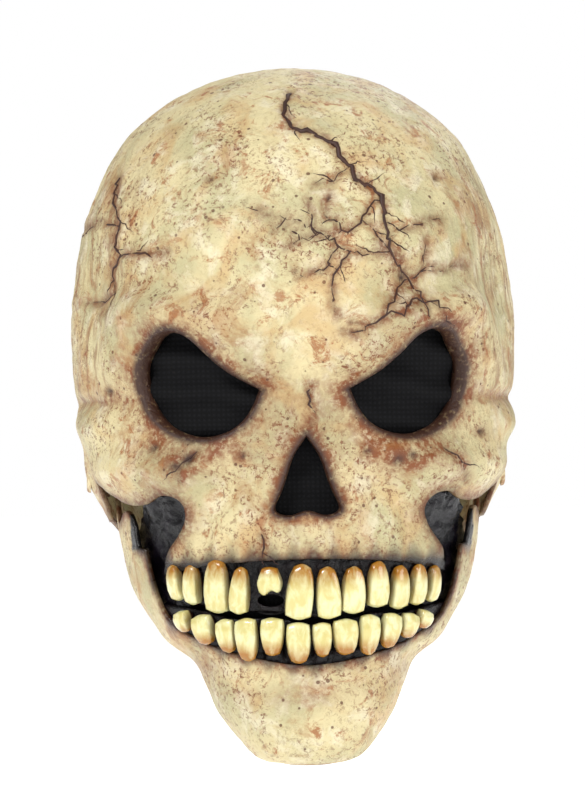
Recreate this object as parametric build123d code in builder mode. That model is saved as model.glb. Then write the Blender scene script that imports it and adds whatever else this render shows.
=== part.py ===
"""Over-the-head latex skull mask with a jaw that opens. Millimetres, +Z up, the face looks along -Y and
+X is on the viewer's right. The origin is the head seat: the point under the crown pad where the top of
the wearer's head rests. Heights are measured up from the tip of the chin and turned into Z by level()."""

import os
from math import copysign, cos, hypot, pi, sin

from build123d import *

os.makedirs("parts", exist_ok=True)

# ---- driving dimensions -------------------------------------------------------------------------
seat_height = 292.0  # head seat above the tip of the chin
wall = 2.5  # latex thickness
glue_gap = 0.15  # glue line between a fitted piece and the wall it is stuck to
far = 160.0  # longer than any cut has to reach
section_points = 20  # spline points in each horizontal section

# (height, half width, front y, y of the widest place, back y, squareness of the front half)
skull_sections = [
    (66, 72.5, -105, -10, 95, 2.2),
    (84, 78, -106, -7, 99, 2.2),
    (102, 84, -107, -2, 105, 2.25),
    (120, 90.5, -107, 2, 113, 2.3),
    (140, 96.5, -106, 6, 123, 2.35),
    (165, 101, -103.5, 10, 133, 2.3),
    (188, 103, -108.5, 12, 138, 2.25),
    (208, 102.5, -110, 12, 139, 2.2),
    (240, 97.5, -104, 11, 131, 2.1),
    (265, 88.5, -92.5, 10, 116, 2.05),
    (285, 77, -77.5, 9, 97, 2.0),
    (300, 60, -58.5, 8, 74, 2.0),
    (310, 41, -38, 6, 51, 2.0),
    (315.6, 22, -17, 5, 28, 2.0),
    (318, 6, -1, 5, 11, 2.0),
]
jaw_sections = [
    (0, 10, -93, -80, -64, 2.0),
    (4, 23.5, -99.5, -74, -44, 2.1),
    (14, 33.5, -104, -66, -20, 2.15),
    (30, 43.5, -106, -56, 20, 2.2),
    (46, 54.5, -105, -46, 55, 2.2),
    (60, 66, -104, -36, 78, 2.2),
    (76, 76, -104, -26, 90, 2.2),
    (96, 81.5, -104, -16, 95, 2.25),
    (116, 84, -103.5, -8, 95, 2.3),
    (146, 85.5, -102, -2, 95, 2.3),
]

# openings in the face, as (x, height) points for the wearer's left (+X); the right side is mirrored.
# The eye starts and ends at its inner corner; the nose runs from its top to the lower corner and back.
eye_outline = [
    (18.5, 166.5),
    (31, 174),
    (44, 184.5),
    (53, 193.5),
    (61, 195),
    (69, 189),
    (74, 178),
    (72.5, 165),
    (67, 154),
    (57, 147),
    (45, 144.5),
    (33, 148),
    (24, 156),
    (18.5, 166.5),
]
nose_side = [(0, 147), (6.5, 138), (12.5, 122), (15.5, 113)]
nose_foot = [(15.5, 113), (9, 110), (0, 112), (-9, 110), (-15.5, 113)]
gum_edge = [(-63, 85), (-40, 90), (0, 92), (40, 90), (63, 85)]  # where the upper gum meets the bone
bite_line = [
    (-67, 72),
    (-48, 69.8),
    (-36, 66.8),
    (-24, 67),
    (-12, 66.6),
    (-4, 64.4),
    (10, 64.6),
    (20, 66.6),
    (32, 68.6),
    (44, 67.8),
    (67, 71),
]
gum_recess = 1.6  # the gums stop this far short of the bite line
jaw_rim = [(-71.5, 96), (-69, 82), (-61, 64), (-40, 52), (0, 44.5), (40, 52), (61, 64), (69, 82), (71.5, 96)]
cheek_cut = [(63, 85), (60, 96), (55.5, 105), (54, 113), (57, 119), (64, 121)]
cheekbone_cut = [(64, 121), (71, 117), (78, 117), (84, 121), (89, 127)]
face_back_y = -22.0  # the cuts seen from the front reach back to here
arch_back_y = -46.0  # gums, cloths and webs end in front of here
neck_rim = [(-22, 127), (-17, 115), (-6, 109), (8, 108), (20, 104), (32, 95), (46, 86), (70, 80), (150, 78)]
jaw_rear = [(-70, -4), (-62, 22), (-32, 45), (-8, 58), (0, 68), (4, 90), (12, 118)]
jaw_top = [(-58, 95), (-55, 106), (-50, 112), (-43, 113.5), (-36, 111), (-29, 108.5), (-22, 109), (-12, 116)]
breath_hole = (-17.5, 73.4, 6.5, 3.2)  # x, height, half width, half height

# jaw hinge: a rivet through the skull wall, a spacer and the top of the jaw on each side
hinge_y, hinge_height = 0.0, 128.0
shank_radius = 2.5
hinge_clearance = 0.06
jaw_disc_radius, jaw_disc = 12.0, (82.6, 86.2)  # each part of the stack as (inner x, outer x)
spacer_radius, spacer = 8.0, (86.5, 89.35)
boss_radius, boss = 9.5, (89.5, 95.2)
spacer_recess = 0.4  # clearance round and behind the spacer where it is let into the skull wall
rivet_head_radius, rivet_head = 6.0, (95.3, 97.2)
rivet_cap_radius, rivet_cap = 6.0, (79.6, 82.3)

# rear slit with its hook-and-loop closure: (x from, x to), and how far each lies outside the skull
slit_width, slit_top = 2.4, 188.0
strap_low, strap_high = 95.0, 115.0
closure_anchor_x, closure_anchor_lift = (-36.0, -14.4), (0.15, 4.0)
closure_tab_x, closure_tab_lift = (-14.0, 36.0), (2.4, 3.8)
closure_patch_x, closure_patch_lift = (6.0, 33.0), (0.15, 2.0)

# lining: black cloth behind each opening, black webs in the cheeks, foam pads
cloth = 0.8
eye_cloth = [(11, 160), (11, 175), (38, 203), (80, 203), (82, 150), (62, 137), (26, 141)]
nose_cloth = [(-25, 104), (-9, 153), (9, 153), (25, 104)]
curtain_section = skull_sections[5]  # the eye and nose cloths hang upright inside the wall at this section
curtain_inset, curtain_low, curtain_high = 5.0, 95.0, 210.0
mouth_cloth_x, mouth_cloth_low = 59.0, 1.5
web, web_gap = 1.2, 1.0
web_outline = [(58.5, 110), (60, 117), (71, 115.5), (74, 104), (72.5, 88), (69, 80.5), (67, 87), (66, 94), (62, 101)]
pad = 14.0
pad_glue = 0.6  # glue line between a pad and the wall
forehead_pad_x, forehead_pad_low, forehead_pad_high = 42.0, 212.0, 248.0
side_pad_y, side_pad_low, side_pad_high = (-18.0, 42.0), 178.0, 226.0
crown_pad_size = (76.0, 96.0)
chin_pad_x, chin_pad_top, chin_pad_back = 30.0, 22.0, -52.0

# (name, x, root height, edge height, width, lean in degrees)
upper_teeth = [
    ("upper_right_third_molar", -57, 84.5, 73, 8.0, -4),
    ("upper_right_second_molar", -50, 86.8, 72.2, 7.2, 5),
    ("upper_right_first_molar", -39.5, 88.6, 68.4, 10.2, 3),
    ("upper_right_premolar", -30.5, 87.5, 68, 7.8, 6),
    ("upper_right_broken_incisor", -17, 87.5, 77.2, 10.2, 0),
    ("upper_right_central_incisor", -3.8, 88.3, 65.5, 11.4, 6),
    ("upper_left_central_incisor", 8.2, 87, 65.6, 9.6, -2),
    ("upper_left_lateral_incisor", 19.4, 87, 67.6, 9.6, 2),
    ("upper_left_canine", 30.4, 89, 70, 9.0, 0),
    ("upper_left_premolar", 40, 87, 69, 7.8, 0),
    ("upper_left_first_molar", 48.4, 87.5, 70.4, 7.2, 1),
    ("upper_left_second_molar", 55.6, 85, 71.4, 6.0, 3),
]
lower_teeth = [
    ("lower_right_third_molar", -54, 61, 69.4, 6.4, -8),
    ("lower_right_second_molar", -45.3, 55.5, 67.6, 9.0, -8),
    ("lower_right_first_molar", -36, 51.8, 65.4, 7.2, -8),
    ("lower_right_premolar", -27.4, 49.6, 65.6, 9.4, -3),
    ("lower_right_lateral_incisor", -16.2, 50.3, 65.8, 9.2, 0),
    ("lower_right_central_incisor", -4.6, 46.6, 63.4, 10.0, 0),
    ("lower_left_central_incisor", 5.6, 49.4, 63.2, 7.2, 0),
    ("lower_left_lateral_incisor", 16, 50.2, 64.6, 10.6, 0),
    ("lower_left_canine", 26, 49.7, 66.4, 8.0, 4),
    ("lower_left_premolar", 35.4, 52.4, 67, 8.0, 9),
    ("lower_left_first_molar", 43.6, 56.6, 66.8, 7.2, 10),
    ("lower_left_second_molar", 50.6, 60.5, 68, 6.4, 14),
]
gum_inset = (2.65, 8.5)  # depth of a gum's outer and inner faces below the bone surface
tooth_back, tooth_depth = 2.2, 3.6  # depth of a tooth's back below the bone surface, and its thickness
lower_gum_foot = [(-64, 58), (-40, 46), (0, 39.5), (40, 46), (64, 58)]
# share of the way from root to edge, share of the width, share of the depth
tooth_shape = [(0, 0.5, 0.5), (0.3, 0.78, 0.8), (0.72, 1, 1), (0.93, 0.94, 0.8), (1, 0.74, 0.5)]


# ---- shared forms -------------------------------------------------------------------------------
def level(height):
    return height - seat_height


def points_at(outline):
    """(x, height) or (y, height) pairs as sketch points."""
    return [(across, level(height)) for across, height in outline]


def mirrored(outline):
    return [(-across, height) for across, height in reversed(outline)]


def drawn_in(sections, inset):
    """The sections moved inwards by inset, square to the surface."""
    found = []
    for index, (height, half_width, front, widest, back, square) in enumerate(sections):
        below = sections[max(index - 1, 0)]
        above = sections[min(index + 1, len(sections) - 1)]
        rise, spread = above[0] - below[0], above[1] - below[1]
        flat = inset * rise / hypot(rise, spread)
        drop = inset * spread / hypot(rise, spread)
        found.append((height + drop, half_width - flat, front + flat, widest, back - flat, square))
    return found


def ring(section):
    """Points round one horizontal section: a squarish ellipse in front, a plain one behind."""
    _, half_width, front, widest, back, square = section
    found = []
    for step in range(section_points):
        angle = 2 * pi * step / section_points
        power, end = (2 / square, front) if cos(angle) > 0 else (1, back)
        x = half_width * copysign(abs(sin(angle)) ** power, sin(angle))
        found.append((x, widest + (end - widest) * abs(cos(angle)) ** power))
    return found


def form(sections, inset):
    """The solid through the sections, drawn in by inset."""
    with BuildPart() as body:
        for section in drawn_in(sections, inset):
            with BuildSketch(Plane.XY.offset(level(section[0]))):
                with BuildLine():
                    Spline(*ring(section), periodic=True)
                make_face()
        loft()
    return body.part


def layer(sections, low, high, outer, inner):
    """The two solids that a layer lies between, from a little below one height to above the other."""
    near = [s for s in sections if low - 24 <= s[0] <= high + 24]
    return form(near, outer), form(near, inner)


def surface_y(sections, x, height, inset=0.0):
    """Y of the front surface at (x, height)."""
    inner = drawn_in(sections, inset)
    below = [s for s in inner if s[0] <= height][-1]
    above = [s for s in inner if s[0] > height][0]
    share = (height - below[0]) / (above[0] - below[0])
    _, half, front, widest, _, square = [a + share * (b - a) for a, b in zip(below, above)]
    return widest + (front - widest) * (1 - min(abs(x) / half, 1) ** square) ** (1 / square)


def save(part, name):
    part.label = name
    export_step(part, f"parts/{name}.step")


# ---- skull --------------------------------------------------------------------------------------
skull_outer, skull_inner = form(skull_sections, 0), form(skull_sections, wall)

with BuildPart() as skull_shell:
    add(skull_outer)
    add(skull_inner, mode=Mode.SUBTRACT)
    with BuildSketch(Plane.XZ):
        for outline in (eye_outline, mirrored(eye_outline)):
            with BuildLine():
                Spline(*points_at(outline))
            make_face()
        with BuildLine():
            Spline(*points_at(nose_side))
            Spline(*points_at(nose_foot))
            Spline(*points_at(mirrored(nose_side)))
        make_face()
    extrude(amount=far, mode=Mode.SUBTRACT)
    with BuildSketch(Plane.XZ.offset(-face_back_y)):
        edge_height = cheekbone_cut[-1][1]
        with BuildLine():
            Spline(*points_at(gum_edge))
            Spline(*points_at(cheek_cut))
            cheekbone = Spline(*points_at(cheekbone_cut))
            below_right = [(far, level(edge_height)), (far, level(50))]
            below_left = [(-far, level(50)), (-far, level(edge_height))]
            Polyline(cheekbone @ 1, *below_right, *below_left, points_at(mirrored(cheekbone_cut))[0])
            Spline(*points_at(mirrored(cheekbone_cut)))
            Spline(*points_at(mirrored(cheek_cut)))
        make_face()
    extrude(amount=far, mode=Mode.SUBTRACT)
    with BuildSketch(Plane.YZ):
        with BuildLine():
            rim = Spline(*points_at(neck_rim[:-1]))
            end, low = points_at(neck_rim)[-1], level(40)
            Polyline(rim @ 1, end, (far, low), (face_back_y, low), rim @ 0)
        make_face()
    extrude(amount=far, both=True, mode=Mode.SUBTRACT)
    with BuildSketch(Plane.XZ):
        with Locations((0, (level(slit_top) + level(40)) / 2)):
            Rectangle(slit_width, slit_top - 40)
    extrude(amount=-far, mode=Mode.SUBTRACT)
    for side in (-1, 1):
        recess = (80, boss[0])
        with Locations(Location((side * sum(recess) / 2, hinge_y, level(hinge_height)), (0, 90, 0))):
            Cylinder(spacer_radius + spacer_recess, recess[1] - recess[0], mode=Mode.SUBTRACT)
        with Locations(Location((side * sum(boss) / 2, hinge_y, level(hinge_height)), (0, 90, 0))):
            Cylinder(boss_radius, boss[1] - boss[0])
            Cylinder(shank_radius + hinge_clearance, far / 8, mode=Mode.SUBTRACT)
save(skull_shell.part, "skull_shell")

# ---- jaw ----------------------------------------------------------------------------------------
jaw_outer, jaw_inner = form(jaw_sections, 0), form(jaw_sections, wall)

with BuildPart() as jaw_shell:
    add(jaw_outer)
    add(jaw_inner, mode=Mode.SUBTRACT)
    with BuildSketch(Plane.XZ.offset(-face_back_y)):
        with BuildLine():
            rim = Spline(*points_at(jaw_rim))
            Polyline(rim @ 1, (jaw_rim[-1][0], far), (jaw_rim[0][0], far), rim @ 0)
        make_face()
    extrude(amount=far, mode=Mode.SUBTRACT)
    with BuildSketch(Plane.YZ):
        with BuildLine():
            rear = Spline(*points_at(jaw_rear))
            above = [rear @ 1, (jaw_rear[-1][0], far), (far, far)]
            Polyline(*above, (far, -2 * far), (jaw_rear[0][0], -2 * far), rear @ 0)
        make_face()
        with BuildLine():
            top = Spline(*points_at(jaw_top))
            above = [top @ 1, (2, level(122)), (far, level(122)), (far, far)]
            Polyline(*above, (-far, far), (-far, level(jaw_top[0][1])), top @ 0)
        make_face()
    extrude(amount=far, both=True, mode=Mode.SUBTRACT)
    for side in (-1, 1):
        with Locations(Location((side * sum(jaw_disc) / 2, hinge_y, level(hinge_height)), (0, 90, 0))):
            Cylinder(jaw_disc_radius, jaw_disc[1] - jaw_disc[0])
            Cylinder(shank_radius + hinge_clearance, far / 8, mode=Mode.SUBTRACT)
save(jaw_shell.part, "jaw_shell")
print("shells", len(skull_shell.part.solids()), len(jaw_shell.part.solids()))


# ---- teeth and gums -----------------------------------------------------------------------------
def make_tooth(sections, x, root, edge, width, lean):
    """A tapering tooth that lies on the gum at x, square to the arch, root up or down, edge at the bite."""
    middle = (root + edge) / 2
    y = surface_y(sections, x, middle, tooth_back)
    along_arch = Vector(2, surface_y(sections, x + 1, middle) - surface_y(sections, x - 1, middle), 0)
    rise = surface_y(sections, x, middle + 4) - surface_y(sections, x, middle - 4)
    upward = Vector(0, rise, 8).normalized()
    upward = upward - along_arch.normalized() * upward.dot(along_arch.normalized())
    swing = Axis((0, 0, 0), along_arch.cross(upward))
    upward, along_arch = upward.rotate(swing, -lean), along_arch.rotate(swing, -lean)
    stand = Plane(origin=(x, y, level(middle)), x_dir=along_arch, z_dir=upward)
    with BuildPart() as tooth:
        for along, across, deep in tooth_shape:
            height = root - middle + along * (edge - root)
            wide, thick = width * across, tooth_depth * deep
            with BuildSketch(stand.offset(height)):
                with Locations((0, -thick / 2)):
                    RectangleRounded(wide, thick, 0.42 * thick)
        loft()
    return tooth.part


for name, *shape in upper_teeth:
    tooth = make_tooth(skull_sections, *shape)
    save(tooth, name)

for name, *shape in lower_teeth:
    tooth = make_tooth(jaw_sections, *shape)
    save(tooth, name)


def moved_line(outline, up):
    return [(across, height + up) for across, height in outline]


arch_plane = Plane.XZ.offset(-arch_back_y)
gum_front, gum_back = layer(skull_sections, 66, 100, *gum_inset)

with BuildPart() as upper_gum:
    add(gum_front)
    with BuildSketch(arch_plane):
        with BuildLine():
            low = Spline(*points_at(moved_line(bite_line, gum_recess)))
            high = Spline(*points_at(moved_line(gum_edge, 5)))
            Line(low @ 0, high @ 0)
            Line(low @ 1, high @ 1)
        make_face()
        with Locations((breath_hole[0], level(breath_hole[1]))):
            Ellipse(breath_hole[2], breath_hole[3], mode=Mode.SUBTRACT)
    extrude(amount=far, mode=Mode.INTERSECT)
    add(gum_back, mode=Mode.SUBTRACT)
save(upper_gum.part, "upper_gum")

gum_front, gum_back = layer(jaw_sections, 44, 76, *gum_inset)

with BuildPart() as lower_gum:
    add(gum_front)
    with BuildSketch(arch_plane):
        with BuildLine():
            high = Spline(*points_at(moved_line(bite_line, -gum_recess)))
            low = Spline(*points_at(lower_gum_foot))
            Line(low @ 0, high @ 0)
            Line(low @ 1, high @ 1)
        make_face()
    extrude(amount=far, mode=Mode.INTERSECT)
    add(gum_back, mode=Mode.SUBTRACT)
save(lower_gum.part, "lower_gum")
print("gums", len(upper_gum.part.solids()), len(lower_gum.part.solids()))

# ---- black cloth behind the openings ------------------------------------------------------------
def plain_ring(section, inset):
    height, half_width, front, widest, back, square = section
    return ring((height, half_width - inset, front + inset, widest, back - inset, square))


with BuildPart() as curtain:
    with BuildSketch(Plane.XY.offset(level(curtain_low))):
        with BuildLine():
            Spline(*plain_ring(curtain_section, curtain_inset), periodic=True)
        make_face()
        with BuildLine():
            Spline(*plain_ring(curtain_section, curtain_inset + cloth), periodic=True)
        make_face(mode=Mode.SUBTRACT)
    extrude(amount=curtain_high - curtain_low)


def face_cloth(outline, name):
    with BuildPart() as panel:
        add(curtain.part)
        with BuildSketch(arch_plane):
            with BuildLine():
                Polyline(*points_at(outline), close=True)
            make_face()
        extrude(amount=far, mode=Mode.INTERSECT)
    save(panel.part, name)
    return panel.part


eye_mesh_left = face_cloth(eye_cloth, "eye_mesh_left")
eye_mesh_right = face_cloth(mirrored(eye_cloth), "eye_mesh_right")
nose_mesh = face_cloth(nose_cloth, "nose_mesh")

mouth_inset = gum_inset[1] + glue_gap
cloth_front, cloth_back = layer(skull_sections, 66, 100, mouth_inset, mouth_inset + cloth)

with BuildPart() as mouth_mesh:
    add(cloth_front)
    with BuildSketch(arch_plane):
        with BuildLine():
            low = Spline(*points_at(moved_line(bite_line, -mouth_cloth_low)))
            high = Spline(*points_at(moved_line(gum_edge, 4)))
            Line(low @ 0, high @ 0)
            Line(low @ 1, high @ 1)
        make_face()
    extrude(amount=far, mode=Mode.INTERSECT)
    add(cloth_back, mode=Mode.SUBTRACT)
save(mouth_mesh.part, "mouth_mesh")

# ---- cheek webs ---------------------------------------------------------------------------------
web_front, web_back = layer(jaw_sections, 70, 124, wall + web_gap, wall + web_gap + web)


def cheek_web(outline, name):
    with BuildPart() as panel:
        add(web_front)
        with BuildSketch(arch_plane):
            with BuildLine():
                Spline(*points_at(outline), periodic=True)
            make_face()
        extrude(amount=far, mode=Mode.INTERSECT)
        add(web_back, mode=Mode.SUBTRACT)
    save(panel.part, name)
    return panel.part


cheek_web_left = cheek_web(web_outline, "cheek_web_left")
cheek_web_right = cheek_web(mirrored(web_outline), "cheek_web_right")


# ---- jaw hinge ----------------------------------------------------------------------------------
def hinge_piece(side, ends, radius, name, bore=0.0, shank=0.0, rounding=0.0):
    """A turned piece on the hinge axis from one outward x to another, with a bore or a shank."""
    with BuildPart() as piece:
        with Locations(Location((side * sum(ends) / 2, hinge_y, level(hinge_height)), (0, 90, 0))):
            Cylinder(radius, ends[1] - ends[0])
            if bore:
                Cylinder(bore, far / 8, mode=Mode.SUBTRACT)
        if rounding:
            outward = piece.faces().sort_by(Axis.X)[-1 if side > 0 else 0]
            fillet(outward.edges(), rounding)
        if shank:
            start, end = rivet_cap[1], ends[0]
            with Locations(Location((side * (start + end) / 2, hinge_y, level(hinge_height)), (0, 90, 0))):
                Cylinder(shank, end - start)
    save(piece.part, name)
    return piece.part


for side, word in ((1, "left"), (-1, "right")):
    hinge_piece(side, rivet_head, rivet_head_radius, f"jaw_rivet_{word}", shank=shank_radius, rounding=1.6)
    hinge_piece(side, spacer, spacer_radius, f"jaw_spacer_{word}", bore=shank_radius + hinge_clearance)
    hinge_piece(side, rivet_cap, rivet_cap_radius, f"rivet_cap_{word}")

# ---- foam ---------------------------------------------------------------------------------------
pad_front, pad_back = layer(
    skull_sections, forehead_pad_low, forehead_pad_high, wall + pad_glue, wall + pad
)

with BuildPart() as forehead_pad:
    add(pad_front)
    with BuildSketch(Plane.XZ):
        with Locations((0, level((forehead_pad_low + forehead_pad_high) / 2))):
            RectangleRounded(2 * forehead_pad_x, forehead_pad_high - forehead_pad_low, 10)
    extrude(amount=far, mode=Mode.INTERSECT)
    add(pad_back, mode=Mode.SUBTRACT)
save(forehead_pad.part, "forehead_pad")

pad_outside, pad_inside = layer(skull_sections, side_pad_low, side_pad_high, wall + pad_glue, wall + pad)


def side_pad(side, name):
    with BuildPart() as piece:
        add(pad_outside)
        with BuildSketch(Plane.YZ):
            with Locations((sum(side_pad_y) / 2, level((side_pad_low + side_pad_high) / 2))):
                RectangleRounded(side_pad_y[1] - side_pad_y[0], side_pad_high - side_pad_low, 12)
        extrude(amount=side * far, mode=Mode.INTERSECT)
        add(pad_inside, mode=Mode.SUBTRACT)
    save(piece.part, name)
    return piece.part


side_pad_left = side_pad(1, "side_pad_left")
side_pad_right = side_pad(-1, "side_pad_right")

crown_form = form([s for s in skull_sections if s[0] > 260], wall + pad_glue)

with BuildPart() as crown_pad:
    add(crown_form)
    with BuildSketch(Plane.XY):
        with Locations((0, 6)):
            Ellipse(crown_pad_size[0] / 2, crown_pad_size[1] / 2)
    extrude(amount=far, mode=Mode.INTERSECT)
save(crown_pad.part, "crown_pad")

chin_form = form([s for s in jaw_sections if s[0] < 50], wall + pad_glue)

with BuildPart() as chin_pad:
    add(chin_form)
    with BuildSketch(Plane.XY.offset(level(chin_pad_top))):
        with Locations((0, (chin_pad_back - far) / 2)):
            Rectangle(2 * chin_pad_x, far + chin_pad_back)
    extrude(amount=-far, mode=Mode.INTERSECT)
    with BuildSketch(Plane.YZ):
        with BuildLine():
            rear = Spline(*points_at(jaw_rear))
            Polyline(rear @ 1, (far, far), (far, -2 * far), (jaw_rear[0][0], -2 * far), rear @ 0)
        make_face()
    extrude(amount=far, both=True, mode=Mode.SUBTRACT)
save(chin_pad.part, "chin_pad")


# ---- rear closure -------------------------------------------------------------------------------
def strap_piece(across, lift, name):
    """A piece of strap lying over the back of the skull, between two x and two lifts off it."""
    strap_outside, strap_inside = layer(skull_sections, strap_low, strap_high, -lift[1], -lift[0])
    with BuildPart() as piece:
        add(strap_outside)
        with BuildSketch(Plane.XZ):
            with Locations((sum(across) / 2, level((strap_low + strap_high) / 2))):
                RectangleRounded(across[1] - across[0], strap_high - strap_low, 3)
        extrude(amount=-far, mode=Mode.INTERSECT)
        add(strap_inside, mode=Mode.SUBTRACT)
    save(piece.part, name)
    return piece.part


closure_anchor = strap_piece(closure_anchor_x, closure_anchor_lift, "closure_anchor")
closure_tab = strap_piece(closure_tab_x, closure_tab_lift, "closure_tab")
closure_patch = strap_piece(closure_patch_x, closure_patch_lift, "closure_patch")
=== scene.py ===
from math import pi, radians

import bmesh
import bpy
import numpy as np
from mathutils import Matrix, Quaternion, Vector, noise


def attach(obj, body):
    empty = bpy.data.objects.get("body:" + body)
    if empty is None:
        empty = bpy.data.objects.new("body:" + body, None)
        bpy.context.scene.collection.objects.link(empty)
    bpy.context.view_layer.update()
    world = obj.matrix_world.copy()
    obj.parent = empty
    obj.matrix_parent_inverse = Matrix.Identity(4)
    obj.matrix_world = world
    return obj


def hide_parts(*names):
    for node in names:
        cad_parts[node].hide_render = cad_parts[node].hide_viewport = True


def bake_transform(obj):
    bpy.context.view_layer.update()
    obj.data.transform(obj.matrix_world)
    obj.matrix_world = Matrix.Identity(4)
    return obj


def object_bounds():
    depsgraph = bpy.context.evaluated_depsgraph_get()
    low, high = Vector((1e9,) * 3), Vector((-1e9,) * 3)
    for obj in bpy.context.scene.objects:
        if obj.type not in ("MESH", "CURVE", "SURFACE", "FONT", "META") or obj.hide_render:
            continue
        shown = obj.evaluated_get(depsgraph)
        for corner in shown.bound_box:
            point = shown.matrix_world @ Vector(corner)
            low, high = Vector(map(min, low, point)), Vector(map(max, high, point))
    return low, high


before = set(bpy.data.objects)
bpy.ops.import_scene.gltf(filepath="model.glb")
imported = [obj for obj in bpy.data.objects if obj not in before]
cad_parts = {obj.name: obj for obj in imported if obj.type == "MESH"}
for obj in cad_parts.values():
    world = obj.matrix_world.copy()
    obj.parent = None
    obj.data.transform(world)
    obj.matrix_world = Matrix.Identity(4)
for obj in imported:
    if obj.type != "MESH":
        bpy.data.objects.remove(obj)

cadBox = [list(corner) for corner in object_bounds()]
seatHeight = 292.0  # mm from the tip of the chin up to the head seat, where z is 0
wallLook = {"shell": 0.0025, "gum": 0.004, "web": 0.0008, "cloth": 0.0006}  # thicknesses in metres

# sections of the head: height above the chin, half width, front y, y of the widest place, back y
# and squareness
skullSections = [
    (48, 66, -104, -12, 92, 2.2), (66, 72.5, -105, -10, 95, 2.2), (84, 78, -106, -7, 99, 2.2),
    (102, 84, -107, -2, 105, 2.25), (120, 90.5, -107, 2, 113, 2.3), (140, 96.5, -106, 6, 123, 2.35),
    (165, 101, -103.5, 10, 133, 2.3), (188, 103, -108.5, 12, 138, 2.25), (208, 102.5, -110, 12, 139, 2.2),
    (240, 97.5, -104, 11, 131, 2.1), (265, 88.5, -92.5, 10, 116, 2.05), (285, 77, -77.5, 9, 97, 2),
    (300, 60, -58.5, 8, 74, 2), (310, 41, -38, 6, 51, 2), (315.6, 22, -17, 5, 28, 2), (318, 0.3, 4.7, 5, 5.3, 2),
]
jawSections = [
    (0, 10, -93, -80, -64, 2), (4, 23.5, -99.5, -74, -44, 2.1), (14, 33.5, -104, -66, -20, 2.15),
    (30, 43.5, -106, -56, 20, 2.2), (46, 54.5, -105, -46, 55, 2.2), (60, 66, -104, -36, 78, 2.2),
    (76, 76, -104, -26, 90, 2.2), (96, 81.5, -104, -16, 95, 2.25), (116, 84, -103.5, -8, 95, 2.3),
    (146, 85.5, -102, -2, 95, 2.3),
]


def smoothLine(points, steps=8, closed=False):
    p = np.array(points, float)
    n = len(p)
    found = []
    for i in range(n if closed else n - 1):
        if closed:
            a, b, c, d = p[i - 1], p[i], p[(i + 1) % n], p[(i + 2) % n]
        else:
            a, b, c, d = p[max(i - 1, 0)], p[i], p[i + 1], p[min(i + 2, n - 1)]
        for t in np.linspace(0, 1, steps, endpoint=False):
            cubic = 2 * a - 5 * b + 4 * c - d + t * (3 * (b - c) + d - a)
            found.append(b + 0.5 * t * (c - a + t * cubic))
    return np.array(found if closed else found + [p[-1]])


def smoothTable(sections):  # the sections filled in, with the run up the side as a last column
    rows = smoothLine(sections, 10)
    rows[:, 0] = np.maximum.accumulate(rows[:, 0])
    run = np.hypot(np.diff(rows[:, 0]), np.diff(rows[:, 1]))
    return np.column_stack([rows, np.concatenate([[0], np.cumsum(run)]) + rows[0, 0]])


skullTable = smoothTable(skullSections)
jawTable = smoothTable(jawSections)
chartScale = 88.0  # millimetres round the head for each radian


def runAt(table, height):
    return np.interp(height, table[:, 0], table[:, 6])


def heightAt(table, run):
    return np.interp(run, table[:, 6], table[:, 0])


def pointOn(table, round_, run):  # millimetres, z from the head seat
    angle = round_ / chartScale
    height, half, front, widest, back, square = [np.interp(run, table[:, 6], table[:, k]) for k in range(6)]
    ahead = np.cos(angle) > 0
    power = np.where(ahead, 2 / square, 1)
    reach = np.where(ahead, front, back) - widest
    x = half * np.sign(np.sin(angle)) * np.abs(np.sin(angle)) ** power
    y = widest + reach * np.abs(np.cos(angle)) ** power
    return np.stack([x, y, height - seatHeight + 0 * x], -1)


def normalOn(table, round_, run):
    across = pointOn(table, round_ + 0.8, run) - pointOn(table, round_ - 0.8, run)
    up = pointOn(table, round_, run + 0.8) - pointOn(table, round_, run - 0.8)
    n = np.cross(across, up)
    n = n / np.maximum(np.linalg.norm(n, axis=-1, keepdims=True), 1e-6)
    return np.where(np.linalg.norm(n, axis=-1, keepdims=True) > 0.5, n, [0, 0, 1])


def fromFront(table, points, steps=8):  # (x, height) points seen from the front, as a line on the chart
    line = smoothLine(points, steps) if steps > 1 else np.array(points, float)
    half, square = (np.interp(line[:, 1], table[:, 0], table[:, k]) for k in (1, 5))
    angle = np.sign(line[:, 0]) * np.arcsin(np.clip(np.abs(line[:, 0]) / half, 0, 1) ** (square / 2))
    return np.column_stack([angle * chartScale, runAt(table, line[:, 1])])


def fromSide(table, points, steps=8):  # (y, height) points seen from the side, on +X
    line = smoothLine(points, steps) if steps > 1 else np.array(points, float)
    y = line[:, 0]
    front, widest, back, square = (np.interp(line[:, 1], table[:, 0], table[:, k]) for k in (2, 3, 4, 5))
    ahead = np.clip((y - widest) / (front - widest), 0, 1) ** (square / 2)
    behind = -np.clip((y - widest) / (back - widest), 0, 1)
    angle = np.arccos(np.where(y < widest, ahead, behind))
    return np.column_stack([angle * chartScale, runAt(table, line[:, 1])])


def flipLine(line):
    return line[::-1] * np.array([-1, 1])


def nearestOn(points, outline):  # distance to a closed outline, nearest point on it, and whether inside
    best = np.full(len(points), 1e9)
    spot = points.copy()
    inside = np.zeros(len(points), bool)
    for a, b in zip(outline, np.roll(outline, -1, axis=0)):
        d = b - a
        t = np.clip(((points - a) @ d) / max(d @ d, 1e-9), 0, 1)[:, None]
        q = a + t * d
        gap = np.linalg.norm(points - q, axis=1)
        nearer = gap < best
        best[nearer] = gap[nearer]
        spot[nearer] = q[nearer]
        if a[1] != b[1]:
            crosses = (a[1] > points[:, 1]) != (b[1] > points[:, 1])
            edge = a[0] + (points[:, 1] - a[1]) * d[0] / (b[1] - a[1])
            inside ^= crosses & (points[:, 0] < edge)
    return best, spot, inside


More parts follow.
